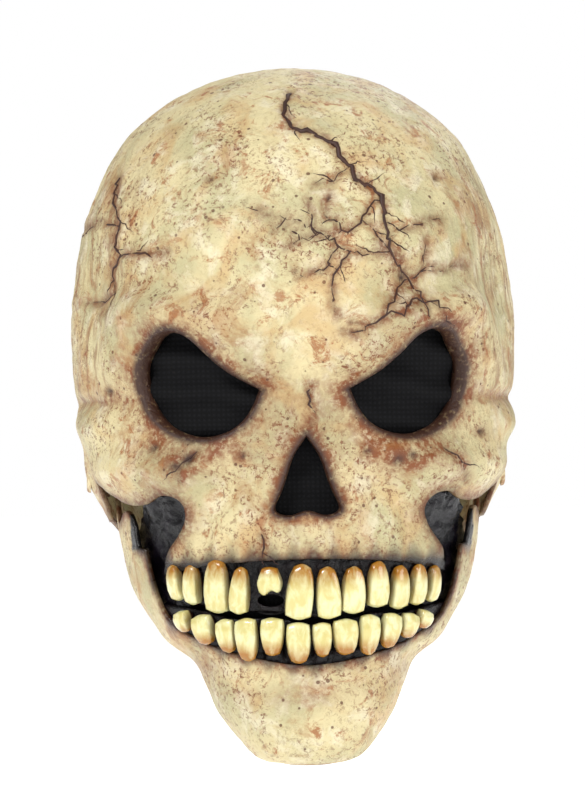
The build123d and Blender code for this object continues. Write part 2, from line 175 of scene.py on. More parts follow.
# a curved skin over the chart: a grid whose points are drawn onto the outlines, cut there, and lipped;
# outline 0 is what is kept, and the holes follow it
def makeSkin(name, rounds, runs, place, keep=None, holes=(), lips=None, weld=0.05, masks=None):
    bm = bmesh.new()
    bmesh.ops.create_grid(bm, x_segments=len(rounds) - 1, y_segments=len(runs) - 1, size=1)
    flat = np.array([v.co[:2] for v in bm.verts])
    i = np.rint((flat[:, 0] + 1) / 2 * (len(rounds) - 1)).astype(int)
    j = np.rint((flat[:, 1] + 1) / 2 * (len(runs) - 1)).astype(int)
    chart = np.column_stack([rounds[i], runs[j]])
    cell = np.maximum(np.gradient(rounds)[i], np.gradient(runs)[j])
    owner = np.full(len(chart), -1)
    faces = np.array([[v.index for v in f.verts] for f in bm.faces])
    outlines = [keep] + list(holes)
    for k, outline in enumerate(outlines):
        if outline is None:
            continue
        gap, spot, _ = nearestOn(chart, outline)
        near = (gap < 0.5 * cell) & (owner < 0)
        chart[near] = spot[near]
        owner[near] = k
    drop = np.zeros(len(faces), bool)
    middles = chart[faces].mean(axis=1)
    for k, outline in enumerate(outlines):
        if outline is not None:
            _, _, inside = nearestOn(middles, outline)
            drop |= ~inside if k == 0 else inside
    cut = np.intersect1d(faces[drop], faces[~drop])  # the last stray points along each cut go on to its outline
    cut = cut[owner[cut] < 0]
    if len(cut):
        nowhere = (np.full(len(cut), 99.0), chart[cut], None)
        found = [nowhere if outline is None else nearestOn(chart[cut], outline) for outline in outlines]
        nearest = np.argmin([gap for gap, _, _ in found], axis=0)
        for k, (gap, spot, _) in enumerate(found):
            mine = (nearest == k) & (gap < 1.6 * cell[cut])
            chart[cut[mine]] = spot[mine]
            owner[cut[mine]] = k
    roundLayer = bm.verts.layers.float.new("chartRound")
    runLayer = bm.verts.layers.float.new("chartRun")
    ownerLayer = bm.verts.layers.int.new("chartOwner")
    for v, (a, b), k in zip(bm.verts, chart, owner):
        v[roundLayer], v[runLayer], v[ownerLayer] = a, b, int(k)
    bm.faces.ensure_lookup_table()
    bmesh.ops.delete(bm, geom=[bm.faces[n] for n in np.flatnonzero(drop)], context="FACES")
    where, _ = place(*(np.array([v[layer] for v in bm.verts]) for layer in (roundLayer, runLayer)))
    for v, p in zip(bm.verts, where):
        v.co = p
    bmesh.ops.remove_doubles(bm, verts=bm.verts, dist=weld)
    for k, (profile, towards) in (lips or {}).items():
        edges = [e for e in bm.edges if e.is_boundary and all(v[ownerLayer] == k for v in e.verts)]
        for across, inward in profile:
            grown = bmesh.ops.extrude_edge_only(bm, edges=edges)["geom"]
            edges = [g for g in grown if isinstance(g, bmesh.types.BMEdge)]
            fresh = [g for g in grown if isinstance(g, bmesh.types.BMVert)]
            _, square = place(*(np.array([v[layer] for v in fresh]) for layer in (roundLayer, runLayer)))
            for v, n in zip(fresh, square):
                n = Vector(n)
                way = Vector(towards) - v.co if k else Vector(towards)
                way = (way - n * way.dot(n)).normalized()
                v.co += way * across - n * inward
    bmesh.ops.dissolve_degenerate(bm, dist=0.01, edges=bm.edges)
    loose = [v for v in bm.verts if not v.link_faces]
    bmesh.ops.delete(bm, geom=loose, context="VERTS")
    rounds_ = np.array([v[roundLayer] for v in bm.verts])
    runs_ = np.array([v[runLayer] for v in bm.verts])
    bmesh.ops.scale(bm, verts=bm.verts, vec=(0.001, 0.001, 0.001))
    piece = finishMesh(bm, name)
    for label, values in (masks(rounds_, runs_) if masks else {}).items():
        attribute = piece.data.attributes.new(label, "FLOAT", "POINT")
        attribute.data.foreach_set("value", np.clip(values, 0, 1).astype(np.float32))
    return piece


def finishMesh(bm, name):
    mesh = bpy.data.meshes.new(name)
    bm.to_mesh(mesh)
    bm.free()
    mesh.shade_smooth()
    piece = bpy.data.objects.new(name, mesh)
    bpy.context.scene.collection.objects.link(piece)
    return piece


def thicken(piece, thickness):  # the wall grows inwards from the skin
    wall = piece.modifiers.new("wall", "SOLIDIFY")
    wall.thickness = thickness
    wall.offset = -1
    wall.use_rim = True
    return piece


def joined(node):  # upper_gum becomes UpperGum
    return "".join(word.title() for word in node.split("_"))


def turnOut(piece):  # faces that a mirrored layout left pointing inwards are turned round
    bm = bmesh.new()
    bm.from_mesh(piece.data)
    bmesh.ops.reverse_faces(bm, faces=bm.faces)
    bm.to_mesh(piece.data)
    bm.free()


def settle(piece):  # the modifiers are made part of the mesh
    bpy.context.view_layer.update()
    solid = bpy.data.meshes.new_from_object(piece.evaluated_get(bpy.context.evaluated_depsgraph_get()))
    piece.modifiers.clear()
    piece.data = solid


def setMaterial(piece, material):
    piece.data.materials.clear()
    piece.data.materials.append(material)


# the colour, pattern and node helpers that every material uses
def srgb(code):
    parts = [int(code[k : k + 2], 16) / 255 for k in (1, 3, 5)]
    return (*[c / 12.92 if c <= 0.04045 else ((c + 0.055) / 1.055) ** 2.4 for c in parts], 1)


def perMetre(millimetres):
    return 1000 / millimetres


def addNode(tree, kind, settings=None, links=None):
    node = tree.nodes.new(kind)
    for key, value in (settings or {}).items():
        setattr(node, key, value)
    for key, value in (links or {}).items():
        if isinstance(value, bpy.types.NodeSocket):
            tree.links.new(value, node.inputs[key])
        else:
            node.inputs[key].default_value = value
    return node


def startMaterial(name, values):
    material = bpy.data.materials.new(name)
    material.use_nodes = True
    tree = material.node_tree
    surface = tree.nodes["Principled BSDF"]
    for key, value in values.items():
        surface.inputs[key].default_value = value
    return material, tree, surface, addNode(tree, "ShaderNodeTexCoord").outputs["Object"]


def noiseOf(tree, place, size, detail=4, rough=0.55, stretch=(1, 1, 1), warp=0.0):
    if stretch != (1, 1, 1):
        place = addNode(tree, "ShaderNodeMapping", None, {"Vector": place, "Scale": stretch}).outputs[0]
    return addNode(tree, "ShaderNodeTexNoise", None, {
        "Vector": place, "Scale": perMetre(size), "Detail": detail, "Roughness": rough, "Distortion": warp,
    }).outputs["Fac"]


def rampOf(tree, value, low, high, start=0.0, end=1.0):
    return addNode(tree, "ShaderNodeMapRange", {"interpolation_type": "SMOOTHSTEP"}, {
        "Value": value, "From Min": low, "From Max": high, "To Min": start, "To Max": end,
    }).outputs[0]


def mixOf(tree, share, first, second, blend="MIX"):
    return addNode(tree, "ShaderNodeMix", {"data_type": "RGBA", "blend_type": blend}, {
        0: share, 6: first, 7: second,
    }).outputs[2]


def sumOf(tree, operation, first, second):
    return addNode(tree, "ShaderNodeMath", {"operation": operation, "use_clamp": True}, {
        0: first, 1: second,
    }).outputs[0]


def maskOf(tree, label):
    return addNode(tree, "ShaderNodeAttribute", {"attribute_name": label}).outputs["Fac"]


def bumpOf(tree, height, distance, strength, normal=None):
    links = {"Height": height, "Distance": distance, "Strength": strength}
    if normal is not None:
        links["Normal"] = normal
    return addNode(tree, "ShaderNodeBump", None, links).outputs[0]


# cast latex, sponged and airbrushed like old bone: dry cream skin, rust washes that pool in every hollow, and umber
# painted shade on the rims of the holes and along the cut edges
boneLook = {  # paint colours, and pattern sizes in millimetres
    "cream": "#D3C597", "greenish": "#BAB287", "peach": "#BC9156", "pale": "#E0D7B8", "rust": "#7C4318",
    "umberShadeAndPits": "#371C0D", "soot": "#0D090A", "patchSize": 40, "blotchSize": 12, "poreSize": 0.9, "streakSize": 8,
    "dotSize": 5.2, "spongeSize": 11, "sponge": "#9A5A28", "grain": "#6F3A18", "dot": "#5B2D14", "patch": "#96602A",
}


def castLatexBone():
    look = boneLook
    material, tree, surface, place = startMaterial("castLatexBone", {"Roughness": 0.5, "IOR": 1.5})
    patches = noiseOf(tree, place, look["patchSize"], 5)
    blotches = noiseOf(tree, place, look["blotchSize"], 6, 0.62, warp=0.4)
    fine = noiseOf(tree, place, 2.6, 5, 0.68)
    colour = mixOf(tree, rampOf(tree, patches, 0.4, 0.62), srgb(look["cream"]), srgb(look["greenish"]))
    colour = mixOf(tree, rampOf(tree, blotches, 0.48, 0.66, 0, 0.7), colour, srgb(look["pale"]))
    peach = noiseOf(tree, place, 24, 4, warp=0.8)
    colour = mixOf(tree, rampOf(tree, peach, 0.48, 0.68, 0, 0.5), colour, srgb(look["peach"]))
    streaks = noiseOf(tree, place, look["streakSize"], 6, 0.62, (1, 1, 0.3), 0.9)
    temple = sumOf(tree, "MULTIPLY", maskOf(tree, "temple"), rampOf(tree, streaks, 0.46, 0.64, 0, 0.6))
    colour = mixOf(tree, temple, colour, srgb(look["rust"]))
    sponge = noiseOf(tree, place, look["spongeSize"], 9, 0.78, warp=0.7)  # sponged-on brown, in drifts
    drift = rampOf(tree, patches, 0.62, 0.42, 0.15, 0.85)
    sponge = sumOf(tree, "MULTIPLY", rampOf(tree, sponge, 0.53, 0.62), drift)
    colour = mixOf(tree, sponge, colour, srgb(look["sponge"]))
    grain = noiseOf(tree, place, 2.2, 6, 0.8, warp=0.6)  # fine brown pepper of the sponge's edge
    drift = rampOf(tree, noiseOf(tree, place, 30, 4, warp=0.5), 0.4, 0.62, 0.2, 1)
    grain = sumOf(tree, "MULTIPLY", rampOf(tree, grain, 0.52, 0.59, 0, 0.95), drift)
    colour = mixOf(tree, grain, colour, srgb(look["grain"]))
    wash = sumOf(tree, "MULTIPLY", maskOf(tree, "stain"), rampOf(tree, fine, 0.3, 0.6, 0.35, 1.1))
    wash = sumOf(tree, "MULTIPLY", wash, rampOf(tree, blotches, 0.35, 0.6, 0.5, 1.2))
    colour = mixOf(tree, wash, colour, srgb(look["rust"]))
    dots = addNode(tree, "ShaderNodeTexVoronoi", None, {"Vector": place, "Scale": perMetre(look["dotSize"])})
    chosen = addNode(tree, "ShaderNodeSeparateColor", None, {0: dots.outputs["Color"]}).outputs
    reach = addNode(tree, "ShaderNodeMath", {"operation": "MULTIPLY"}, {0: chosen[1], 1: 0.2}).outputs[0]
    away = dots.outputs["Distance"]
    dot = addNode(tree, "ShaderNodeMath", {"operation": "SUBTRACT"}, {0: reach, 1: away}).outputs[0]
    dot = sumOf(tree, "MULTIPLY", rampOf(tree, dot, 0.0, 0.05), rampOf(tree, chosen[0], 0.28, 0.33))
    colour = mixOf(tree, sumOf(tree, "MULTIPLY", dot, 0.8), colour, srgb(look["dot"]))
    rusty = noiseOf(tree, place, 34, 8, 0.7, warp=0.9)  # larger rust-brown patches with ragged edges
    colour = mixOf(tree, rampOf(tree, rusty, 0.55, 0.66, 0, 0.5), colour, srgb(look["patch"]))
    # umber: painted shade on the inner rims of the eye and nose holes and along the cut edges, and the real brown
    # paint of the pits and cracks
    deep = sumOf(tree, "MULTIPLY", maskOf(tree, "deep"), rampOf(tree, fine, 0.25, 0.5, 0.5, 1))
    colour = mixOf(tree, deep, colour, srgb(look["umberShadeAndPits"]))
    soot = maskOf(tree, "soot")
    colour = mixOf(tree, soot, colour, srgb(look["soot"]))
    tree.links.new(colour, surface.inputs["Base Color"])
    tree.links.new(rampOf(tree, soot, 0, 1, 0.5, 0.25), surface.inputs["Roughness"])
    pores = noiseOf(tree, place, look["poreSize"], 3, 0.6)
    skin = bumpOf(tree, pores, 0.0002, 0.5)
    skin = bumpOf(tree, fine, 0.0008, 0.7, skin)
    skin = bumpOf(tree, blotches, 0.0028, 0.7, skin)
    sunk = addNode(tree, "ShaderNodeMath", {"operation": "SUBTRACT"}, {0: 1.0, 1: dot}).outputs[0]
    skin = bumpOf(tree, sunk, 0.0006, 0.8, skin)
    tree.links.new(skin, surface.inputs["Normal"])
    return material


def glossLatex(name, dark, tint, rough):  # cast latex under a wet-look varnish: near black, sharp highlights
    material, tree, surface, place = startMaterial(name,
        {"Roughness": rough, "IOR": 1.5, "Specular IOR Level": 0.3})
    lumps = noiseOf(tree, place, 7, 5, 0.6, warp=0.5)
    creases = noiseOf(tree, place, 2.2, 4, 0.6, warp=1.2)
    colour = mixOf(tree, rampOf(tree, lumps, 0.4, 0.7), srgb(dark), srgb(tint))
    tree.links.new(colour, surface.inputs["Base Color"])
    skin = bumpOf(tree, creases, 0.0008, 0.6, bumpOf(tree, lumps, 0.002, 0.6))
    tree.links.new(skin, surface.inputs["Normal"])
    return material


def varnishedTooth():  # latex tooth, sponged amber at the root and varnished: pale biting edge, glossy all over
    material, tree, surface, place = startMaterial("varnishedTooth", {
        "Roughness": 0.2, "IOR": 1.5, "Coat Weight": 0.5, "Coat Roughness": 0.08, "Subsurface Weight": 0.05,
    })
    mottled = noiseOf(tree, place, 4, 5, 0.6, (1, 1, 0.5), 0.5)
    colour = mixOf(tree, rampOf(tree, mottled, 0.35, 0.65), srgb("#E0DBA6"), srgb("#CFC07A"))
    root = sumOf(tree, "MULTIPLY", maskOf(tree, "root"), rampOf(tree, mottled, 0.2, 0.7, 0.5, 1.3))
    colour = mixOf(tree, root, colour, srgb("#A06A1C"))
    # painted shade: dark brown on the flanks where the teeth meet and on the backs that turn into the mouth
    colour = mixOf(tree, maskOf(tree, "side"), colour, srgb("#3A1C10"))
    tree.links.new(colour, surface.inputs["Base Color"])
    ridges = noiseOf(tree, place, 1.4, 3, 0.5, (1, 1, 0.15))
    skin = bumpOf(tree, ridges, 0.0003, 0.4, bumpOf(tree, mottled, 0.0007, 0.4))
    tree.links.new(skin, surface.inputs["Normal"])
    return material


# plain weave drawn a little coarser than it is, so that it shows
def wovenCloth(name, dark, light, thread, rough=0.85):
    material, tree, surface, place = startMaterial(name, {"Roughness": rough, "Specular IOR Level": 0.2})
    lines = []
    for axis in ("X", "Z"):
        lines.append(addNode(tree, "ShaderNodeTexWave", {"bands_direction": axis}, {
            "Vector": place, "Scale": perMetre(thread) / 6.283, "Distortion": 0.6, "Detail": 1.0,
        }).outputs["Fac"])
    weave = sumOf(tree, "MULTIPLY", lines[0], lines[1])
    tree.links.new(mixOf(tree, weave, srgb(dark), srgb(light)), surface.inputs["Base Color"])
    tree.links.new(bumpOf(tree, weave, 0.0004, 0.5), surface.inputs["Normal"])
    return material


def openCellFoam():  # polyurethane foam, dark grey, matt, with pin-hole cells
    material, tree, surface, place = startMaterial("openCellFoam", {"Roughness": 0.95})
    cells = addNode(tree, "ShaderNodeTexVoronoi", None, {"Vector": place, "Scale": perMetre(1.6)})
    cells = cells.outputs["Distance"]
    colour = mixOf(tree, rampOf(tree, cells, 0.1, 0.6), srgb("#17171A"), srgb("#3A3A40"))
    tree.links.new(colour, surface.inputs["Base Color"])
    tree.links.new(bumpOf(tree, cells, 0.0006, 0.6), surface.inputs["Normal"])
    return material


def mouldedNylon():  # injection-moulded nylon rivet, brushed over with the bone paint
    material, tree, surface, place = startMaterial("mouldedNylon", {"Roughness": 0.45, "IOR": 1.53})
    worn = noiseOf(tree, place, 5, 5, 0.6)
    colour = mixOf(tree, rampOf(tree, worn, 0.4, 0.65), srgb("#D5C8A2"), srgb("#8F6238"))
    tree.links.new(colour, surface.inputs["Base Color"])
    tree.links.new(bumpOf(tree, worn, 0.0004, 0.3), surface.inputs["Normal"])
    return material


def crackInk():  # brown-black paint run into a scored line
    material, tree, surface, place = startMaterial("crackInk", {"Roughness": 0.6})
    shade = noiseOf(tree, place, 6, 3)
    tree.links.new(mixOf(tree, shade, srgb("#1C0E0A"), srgb("#4A2413")), surface.inputs["Base Color"])
    return material


bone = castLatexBone()
gumLatex = glossLatex("blackGumLatex", "#050304", "#150C10", 0.24)
webLatex = glossLatex("blackWebLatex", "#040306", "#110C15", 0.2)
tooth = varnishedTooth()
meshCloth = wovenCloth("blackMeshCloth", "#030304", "#101013", 1.1)
webbing = wovenCloth("nylonWebbing", "#0B0B0D", "#2B2B30", 1.6, 0.7)
hookTape = wovenCloth("nylonHookTape", "#060608", "#222226", 0.9)
foam = openCellFoam()
nylon = mouldedNylon()
ink = crackInk()
print("materials made")

# the skull: strokes push the plain form out (+) or in (-), in millimetres, seen from the front
skullStrokes = [  # x, height, radius across, radius up, push; each is repeated on the other side
    (42, 199, 24, 8, 6.5), (20, 182, 12, 8, 6.0), (70, 203, 13, 8, 5.2), (85, 184, 8, 17, 3.4),
    (30, 189, 12, 7, 2.5), (0, 176, 9, 10, 1.0), (0, 158, 6.5, 15, 5.5), (14, 154, 6, 13, -2.6),
    (24, 148, 8, 8, -1.5), (0, 148, 4, 4, 2.0), (60, 133, 21, 8, 7.0), (84, 134, 12, 10, 4.5),
    (36, 138, 12, 6, 2.6), (92, 150, 8, 7, 2.4), (36, 121, 9, 10, -5.0), (47, 110, 7, 11, -3.5),
    (20, 126, 5, 16, 2.6), (0, 103, 5, 6, 2.0), (10, 105, 5, 5, -1.4), (74, 124, 10, 5, 1.5),
    (32, 228, 20, 16, 2.2), (0, 236, 13, 24, -1.2), (58, 244, 16, 20, 1.6), (58, 94, 8, 7, 2.0),
    (50, 214, 26, 6, -1.8), (78, 222, 6, 30, 1.8),
]
toothRidges = [(-50, 97), (-40, 99), (-30, 97), (-17, 99), (-4, 99), (8, 98), (19, 97), (30, 97), (40, 96),
               (50, 93)]
sideStrokes = [(-46, 214, 24, 26, -5.5), (-30, 163, 40, 3.0, -2.6), (-20, 152, 36, 7, 3.0), (62, 150, 30, 22, 2.5),
               (20, 134, 16, 14, 1.5), (0, 128, 12, 13, 3.2)]

eyeLine = [
    (18.5, 166.5), (31, 174), (44, 184.5), (53, 193.5), (61, 195), (69, 189), (74, 178), (72.5, 165),
    (67, 154), (57, 147), (45, 144.5), (33, 148), (24, 156), (18.5, 166.5),
]
noseLine = [(0, 147), (6.5, 138), (12.5, 122), (15.5, 113), (9, 110), (0, 112), (-9, 110), (-15.5, 113),
            (-12.5, 122), (-6.5, 138), (0, 147)]
gumLine = [(-63, 85), (-40, 90), (0, 92), (40, 90), (63, 85)]
cheekLine = [(63, 85), (60, 96), (55.5, 105), (54, 113), (57, 119), (64, 121), (71, 117), (78, 117), (84, 121),
             (89, 127)]
neckLine = [(-22, 127), (-17, 115), (-6, 109), (8, 108), (20, 104), (32, 95), (46, 86), (70, 80), (104, 79)]
random = np.random.default_rng(21)
mainCrack = [(-2, 302), (-6, 293), (-3, 285), (5, 282), (12, 279.5), (17, 273), (22, 266), (26, 260), (33, 255),
             (37, 248), (36.5, 241), (38.5, 232), (38, 227), (42, 221), (46, 215), (50, 210), (52, 204), (54, 198)]
templeCrack = [(-80, 266), (-83, 254), (-81, 243), (-85, 236), (-82, 229), (-88, 222), (-86, 213), (-90, 204)]
crackLines = [mainCrack, templeCrack, [(-20.5, 103), (-19, 98), (-21, 93), (-19.6, 89.5)],
              [(3, 170), (1, 163), (3.5, 156), (2, 150)], [(60, 140), (66, 134), (70, 126)],
              [(-47, 140), (-53, 134), (-54, 127)]]


def growCrack(start, heading, steps, reach, forks):  # one wandering line that forks as it goes
    line, way = [np.array(start, float)], float(heading)
    for n in range(steps):
        bend = way + random.normal(0, 24)
        heads = np.array([np.cos(radians(bend)), np.sin(radians(bend))])
        line.append(line[-1] + reach * random.uniform(0.7, 1.3) * heads)
        way += random.normal(0, 9)
        if forks and 0 < n < steps - 1 and random.random() < 0.5:
            turned = bend + random.choice([-1, 1]) * random.uniform(45, 80)
            growCrack(line[-1], turned, max(steps - n - 2, 2), reach * 0.8, forks - 1)
    crackLines.append([tuple(spot) for spot in line])


for spot, heading, steps, reach, forks in (
    (mainCrack[6], 205, 4, 5.5, 0), (mainCrack[9], 190, 9, 6.2, 1), (mainCrack[12], 178, 10, 6.4, 1),
    (mainCrack[14], 228, 7, 5.6, 1), (mainCrack[10], 30, 5, 6.0, 0), (mainCrack[14], 22, 6, 6.0, 1),
    (mainCrack[16], 195, 6, 5.6, 0), (mainCrack[16], -8, 4, 5.4, 0), (templeCrack[2], 190, 3, 4.6, 0),
    (templeCrack[4], -20, 4, 5.0, 1), (templeCrack[6], 200, 3, 4.4, 0),
):
    growCrack(spot, heading, steps, reach, forks)
pits = [(44.6, 217, 2.6), (-50, 137, 3.4), (-55, 134, 2.4), (40, 135, 3.2), (46, 137, 2.2), (-66, 142, 2.2),
        (27, 139, 2.0), (-28, 138, 1.8), (80, 147, 1.8), (-86, 168, 2.0), (12, 252, 1.4), (-40, 262, 1.2),
        (62, 262, 1.3)]


def bump2(x, height, spot, across, up):
    return np.exp(-(((x - spot[0]) / across) ** 2) - ((height - spot[1]) / up) ** 2)


def fade(gap, reach):  # 1 on the spot, falling off over the reach
    return np.exp(-((gap / reach) ** 2))


def crackGap(x, height, ahead):
    gap = np.full(len(x), 99.0)
    points = np.column_stack([x, height])
    for line in crackLines:
        path = np.array(line)
        for a, b in zip(path[:-1], path[1:]):
            d = b - a
            t = np.clip(((points - a) @ d) / (d @ d), 0, 1)[:, None]
            gap = np.minimum(gap, np.linalg.norm(points - a - t * d, axis=1))
    return np.where(ahead, gap, 99.0)


def noiseField(points, size, seed=0.0):
    return np.array([noise.noise(Vector(p) / size + Vector((seed, seed, seed))) for p in points])


def skullPush(flat):
    x, y, height = flat[:, 0], flat[:, 1], flat[:, 2] + seatHeight
    front = 1 / (1 + np.exp((y + 22) / 5))
    push = np.zeros(len(x))
    for sx, sh, across, up, depth in skullStrokes:
        push += depth * bump2(x, height, (sx, sh), across, up)
        if sx:
            push += depth * bump2(x, height, (-sx, sh), across, up)
    for sx, sh in toothRidges:
        push += 1.9 * bump2(x, height, (sx, sh - 3), 3.0, 10)
    push *= front
    side = 1 / (1 + np.exp((62 - np.abs(x)) / 5))
    for sy, sh, along, up, depth in sideStrokes:
        push += depth * side * bump2(y, height, (sy, sh), along, up)
    push += 0.35 * front * np.abs(noiseField(flat, 22, 11.0)) * 2
    for k in range(4):  # folds across the root of the nose
        wave = np.cos((height - 166 - 2.6 * k) * 1.2)
        push += 0.7 * front * wave * bump2(x, height, (0, 166 + 2.6 * k), 10, 1.6)
    crack = crackGap(x, height, y < 10)
    push += 0.7 * fade(crack - 3.2, 1.8) - 0.7 * fade(crack, 1.8)
    for sx, sh, size in pits:
        push -= 1.8 * (y < 0) * bump2(x, height, (sx, sh), size, size)
    return push


def placeSkull(rounds, runs):
    flat = pointOn(skullTable, rounds, runs)
    normal = normalOn(skullTable, rounds, runs)
    push = skullPush(flat) + 0.45 * noiseField(flat, 14) + 0.25 * noiseField(flat, 5, 7.0)
    found = flat + normal * (push + 0.5 * np.abs(noiseField(flat, 8, 4.0)))[:, None]
    slit = (np.abs(rounds) > pi * chartScale - 0.01) & (flat[:, 2] + seatHeight < 188)
    found[:, 0] += np.where(slit, 1.2 * np.sign(rounds), 0)
    return found, normal


def skullMasks(rounds, runs):
    flat = pointOn(skullTable, rounds, runs)
    x, y, height = flat[:, 0], flat[:, 1], flat[:, 2] + seatHeight
    front = y < 0
    chart = np.column_stack([rounds, runs])
    eyes = np.minimum(nearestOn(chart, eyeLeft)[0], nearestOn(chart, eyeRight)[0])
    nose = nearestOn(chart, noseHole)[0]
    edge = nearestOn(chart, skullKeep)[0]
    edge = np.where((np.abs(rounds) > pi * chartScale - 24) & (height > 188), 99.0, edge)
    crack = crackGap(x, height, y < 10)
    stain = fade(eyes, 5) + fade(nose, 3) + 0.8 * fade(edge, 6)
    stain += 0.7 * fade(crack, 2.6) + 0.35 * fade(eyes, 16) + 0.25 * fade(nose, 12)
    stain += 0.7 * (np.abs(x) > 70) * bump2(y, height, (-30, 163), 60, 2.5)  # the fold behind the cheekbone
    for sx, sh, size in pits:
        stain += 0.7 * front * bump2(x, height, (sx, sh), size * 2.4, size * 2)
    stain += 0.5 * front * bump2(np.abs(x), height, (48, 136), 16, 6)
    # deep: painted shade at the eye and nose rims and along the cut edge, plus the real brown of the cracks and
    # pits
    deep = fade(eyes, 1.8) + fade(nose, 1.4) + 0.35 * fade(crack, 1.2)
    deep += 0.55 * fade(edge, 2.2)
    for sx, sh, size in pits:
        deep += front * bump2(x, height, (sx, sh), size * 0.8, size * 0.8)
    gum = front * (height < 112) * (np.abs(x) < 66)
    soot = gum * (1 - np.clip((height - 90) / (8 + 4 * np.sin(x * 0.7)), 0, 1)) ** 1.3
    temple = np.clip((np.abs(x) - 62) / 22, 0, 1) * np.clip((height - 150) / 20, 0, 1)
    temple *= np.clip((292 - height) / 30, 0, 1)
    temple += 0.5 * np.clip((y - 10) / 40, 0, 1)
    return {"stain": stain, "deep": deep, "soot": soot, "temple": temple}


eyeLeft = fromFront(skullTable, eyeLine)[:-1]
eyeRight = flipLine(eyeLeft)
noseHole = fromFront(skullTable, noseLine)[:-1]
gumEdge = fromFront(skullTable, gumLine)
cheekEdge = fromFront(skullTable, cheekLine, 6)
neckEdge = fromSide(skullTable, neckLine)
backPoint = [[pi * chartScale + 1, runAt(skullTable, 79)], [pi * chartScale + 1, 600]]
halfEdge = np.vstack([cheekEdge, neckEdge, backPoint])
skullKeep = np.vstack([gumEdge, halfEdge[1:], flipLine(halfEdge)[:-1]])

frontRounds = np.linspace(-138, 138, 168)
backRounds = np.linspace(138, pi * chartScale, 42)[1:]
skullRounds = np.concatenate([-backRounds[::-1], frontRounds, backRounds])
topRun = skullTable[-1, 6]
skullRuns = np.concatenate([np.arange(78, 222, 1.65), np.arange(222, topRun - 4, 2.6),
                            np.linspace(topRun - 3, topRun, 3)])
eyeLip = [(0.9, 0.7), (0.9, 1.6), (0.5, 2.2), (0.0, 2.4)]
skull = makeSkin(
    "skullSkin", skullRounds, skullRuns, placeSkull, skullKeep, [eyeLeft, eyeRight, noseHole],
    {0: ([(0.3, 0.8), (0.0, 1.2)], (0, 0, -1)), 1: (eyeLip, (48, -95, -122)), 2: (eyeLip, (-48, -95, -122)),
     3: ([(0.7, 0.8), (0.5, 1.8), (0.0, 2.4)], (0, -104, -168))},
    0.4, skullMasks,
)
thicken(skull, wallLook["shell"])
setMaterial(skull, bone)
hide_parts("skull_shell")
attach(skull, "skull")
print("skull made", len(skull.data.polygons))

# the jaw: the same kind of strokes, and the outline that its skin is cut to
jawStrokes = [
    (0, 14, 12, 9, 3.0), (17, 10, 8, 8, 2.5), (0, 33, 14, 7, -2.5), (30, 26, 12, 8, 1.5), (48, 44, 10, 7, -1.8),
    (60, 56, 8, 8, 1.0), (26, 42, 7, 6, -0.8), (50, 42, 16, 17, -1.6),
]
jawRidges = [-45, -36, -27, -16, -5, 6, 16, 26, 35, 44]
jawRim = [(-71.5, 96), (-69, 82), (-61, 64), (-40, 52), (0, 44.5), (40, 52), (61, 64), (69, 82), (71.5, 96)]
jawCorner = [(-58, 97), (-55, 106), (-50, 112), (-43, 113.5), (-36, 111), (-29, 108.5), (-22, 109), (-14, 118),
             (-9, 134), (6, 135), (10, 122)]
jawBack = [(10, 122), (4, 90), (0, 68), (-8, 58), (-32, 45), (-62, 22), (-72, 2)]


def jawPush(flat):
    x, y, height = flat[:, 0], flat[:, 1], flat[:, 2] + seatHeight
    push = np.zeros(len(x))
    for sx, sh, across, up, depth in jawStrokes:
        push += depth * bump2(x, height, (sx, sh), across, up)
        if sx:
            push += depth * bump2(x, height, (-sx, sh), across, up)
    for sx in jawRidges:
        push += 1.1 * bump2(x, height, (sx, 44 + abs(sx) * 0.16), 3.2, 6)
    return push * np.where(y < -30, 1, np.clip(1 - (y + 30) / 20, 0, 1))


def placeJaw(rounds, runs):
    flat = pointOn(jawTable, rounds, runs)
    normal = normalOn(jawTable, rounds, runs)
    push = jawPush(flat) + 0.4 * noiseField(flat, 13, 3.0) + 0.2 * noiseField(flat, 5, 9.0)
    return flat + normal * push[:, None], normal


def jawMasks(rounds, runs):
    flat = pointOn(jawTable, rounds, runs)
    x, y, height = flat[:, 0], flat[:, 1], flat[:, 2] + seatHeight
    edge = nearestOn(np.column_stack([rounds, runs]), jawKeep)[0]
    rim = np.interp(np.abs(x), [0, 40, 61, 69, 71.5], [44.5, 52, 64, 82, 96])
    soot = (y < -50) * (1 - np.clip((rim + 1 - height) / (6 + 3 * np.sin(x * 0.6)), 0, 1)) ** 1.2
    stain = 0.9 * fade(edge, 5) + 0.45 * bump2(x, height, (0, 32), 30, 6)
    stain += 0.4 * bump2(np.abs(x), height, (50, 42), 12, 6)
    temple = 0.35 * np.clip((y + 60) / 60, 0, 1)
    # the jaw's deep mask is painted shade along its cut edge
    return {"stain": stain, "deep": 0.5 * fade(edge, 1.8), "soot": soot, "temple": temple}


rimLine = fromFront(jawTable, jawRim)
sideEdge = np.vstack([fromSide(jawTable, jawCorner), fromSide(jawTable, jawBack)[1:], [[120, jawTable[0, 6] - 2]]])
jawKeep = np.vstack([rimLine, sideEdge, flipLine(sideEdge)])
jaw = makeSkin(
    "jawSkin", np.linspace(-165, 165, 172), np.arange(jawTable[0, 6], runAt(jawTable, 140), 1.9), placeJaw,
    jawKeep, (),
    {0: ([(0.3, 0.8), (0.0, 1.2)], (0, 0, 1))}, 0.3, jawMasks,
)
thicken(jaw, wallLook["shell"])
setMaterial(jaw, bone)
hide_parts("jaw_shell")
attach(jaw, "jaw")
print("jaw made", len(jaw.data.polygons))

# crack lines: dark paint run into the scored lines, with twigs at their sides
def skinSpots(path):
    chart = fromFront(skullTable, path, 1)
    where, normal = placeSkull(chart[:, 0], chart[:, 1])
    return where - normal * 0.1


